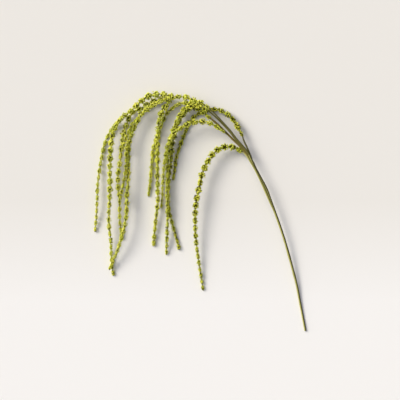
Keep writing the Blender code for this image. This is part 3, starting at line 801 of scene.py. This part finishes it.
def bark_material():
    """Olive bark with fine streaks, yellower or browner by stem, yellower on one side as painted
    light and darker on the other as painted shade.
    """
    made, nodes, links, surface = material("stem_bark", BARK_ROUGHNESS, BARK_SPECULAR)
    streaks = noise(nodes, links, STREAK_SCALE, STREAK_DETAIL)
    mixed = ramp(nodes, links, streaks, BARK_COLOURS)
    for layer, colour in zip(BARK_LAYERS, (BARK_YELLOW, BARK_BROWN)):
        mixed = turned_to(nodes, links, mixed, colour, attribute(nodes, layer))
    links.new(mixed, surface.inputs["Base Color"])
    bump = nodes.new("ShaderNodeBump")
    bump.inputs["Strength"].default_value = STREAK_BUMP
    bump.inputs["Distance"].default_value = STREAK_HEIGHT
    links.new(streaks, bump.inputs["Height"])
    links.new(bump.outputs["Normal"], surface.inputs["Normal"])
    return made


def table_material():
    """Matt and pale, with painted light making it a little lighter towards the bottom of the
    view.
    """
    made, nodes, links, surface = material("table_white", TABLE_ROUGHNESS, TABLE_SPECULAR)
    where = nodes.new("ShaderNodeTexCoord")
    apart = nodes.new("ShaderNodeSeparateXYZ")
    links.new(where.outputs["Object"], apart.inputs["Vector"])
    across = nodes.new("ShaderNodeMapRange")
    across.inputs["From Min"].default_value = TABLE_FADE[0]
    across.inputs["From Max"].default_value = TABLE_FADE[1]
    links.new(apart.outputs["Y"], across.inputs["Value"])
    painted_light_fade = ramp(nodes, links, across.outputs["Result"], TABLE_COLOURS)
    links.new(painted_light_fade, surface.inputs["Base Color"])
    return made


def table():
    """A round floor that curves up far out."""
    points, faces = [], [tuple(range(TABLE_SIDES))]
    for row in range(TABLE_ROWS + 1):
        out = row / TABLE_ROWS
        radius = TABLE_FLAT + (TABLE_REACH - TABLE_FLAT) * out
        for k in range(TABLE_SIDES):
            turn = 2 * math.pi * k / TABLE_SIDES
            points.append((radius * math.cos(turn), radius * math.sin(turn), TABLE_RISE * out**2))
    for row in range(TABLE_ROWS):
        for k in range(TABLE_SIDES):
            a, b = row * TABLE_SIDES + k, row * TABLE_SIDES + (k + 1) % TABLE_SIDES
            faces.append((a, a + TABLE_SIDES, b + TABLE_SIDES, b))
    data = bpy.data.meshes.new("table")
    data.from_pydata(points, [], faces)
    data.polygons.foreach_set("use_smooth", [False] + [True] * (len(faces) - 1))
    data.materials.append(table_material())
    made = in_scene("table", data)
    made.location.z = -TABLE_DROP


def sun(name, strength, spread, elevation, heading):
    """A light at infinity, spread over an angle, that shines along a heading in plan."""
    data = bpy.data.lights.new(name, "SUN")
    data.energy = strength
    data.angle = math.radians(spread)
    data.color = KEY_COLOUR
    made = in_scene(name, data)
    towards = Vector((*heading, 0)).normalized() * math.cos(math.radians(elevation))
    towards.z = -math.sin(math.radians(elevation))
    made.rotation_mode = "QUATERNION"
    made.rotation_quaternion = towards.to_track_quat("-Z", "Y")


def light():
    """A soft key and a broad light from the upper left of the view, and a pale surround."""
    sun("key", **KEY)
    sun("broad", **BROAD)
    world = bpy.data.worlds.new("surround")
    bpy.context.scene.world = world
    world.use_nodes = True
    back = world.node_tree.nodes["Background"]
    back.inputs["Color"].default_value = (*SURROUND_COLOUR, 1.0)
    back.inputs["Strength"].default_value = SURROUND_STRENGTH


def camera():
    """A camera over the middle of the plan, looking straight down."""
    bpy.context.scene.view_settings.view_transform = "Standard"
    data = bpy.data.cameras.new("camera")
    data.lens = LENS
    data.sensor_width = SENSOR
    made = in_scene("camera", data)
    middle = (PLAN_SIZE - 1) / 2
    wide = PLAN_SIZE * PLAN_STEP
    made.location = ((middle - ORIGIN_AT[0]) * PLAN_STEP, (ORIGIN_AT[1] - middle) * PLAN_STEP,
                     wide * data.lens / data.sensor_width)
    bpy.context.scene.camera = made


def build():
    """All pieces: bark, the crown's florets and each tassel's."""
    bark, crown = Gathered(BARK_LAYERS), Gathered(FLORET_LAYERS)
    tassels = {name: Gathered(FLORET_LAYERS) for name in TASSELS}
    home = {strand: name for name, strands in TASSELS.items() for strand in strands}
    stalk = Route(STALK)
    add_bark(bark, stalk, stalk.length, STEM_LOOKS["stalk"], STALK_SEED)
    for name, strand in STRANDS.items():
        route = Route(strand["points"])
        start = route.knots[strand["bare"]]
        seed = strand["seed"]
        if strand["bare"]:
            add_bark(bark, route, start + BARK_OVERLAP, STEM_LOOKS[name], seed)
        spans = clusters_on(route, start)
        shared = strand["crown"]
        runs = [(tassels[home[name]], spans[shared:], seed, FULLER.get(name, 0.0))]
        if shared:
            runs.append((crown, spans[:shared], seed + CROWN_SEED, FULLER["crown"]))
        for mesh, run, number, fuller in runs:
            surface = Surface(route, run, number, strand["neck"], fuller)
            add_core(mesh, surface)
            add_florets(mesh, surface, number, RIPENESS_AND_SHADE.get(name, 0.0))
    florets, skin = floret_material(), bark_material()
    bark.piece("stem_bark", skin, "stem", "stem_green")
    crown.piece("crown_florets", florets, "crown", "seed_green")
    for name, tassel in tassels.items():
        tassel.piece(f"florets_{name}", florets, name, "seed_green")


table()
light()
camera()
build()
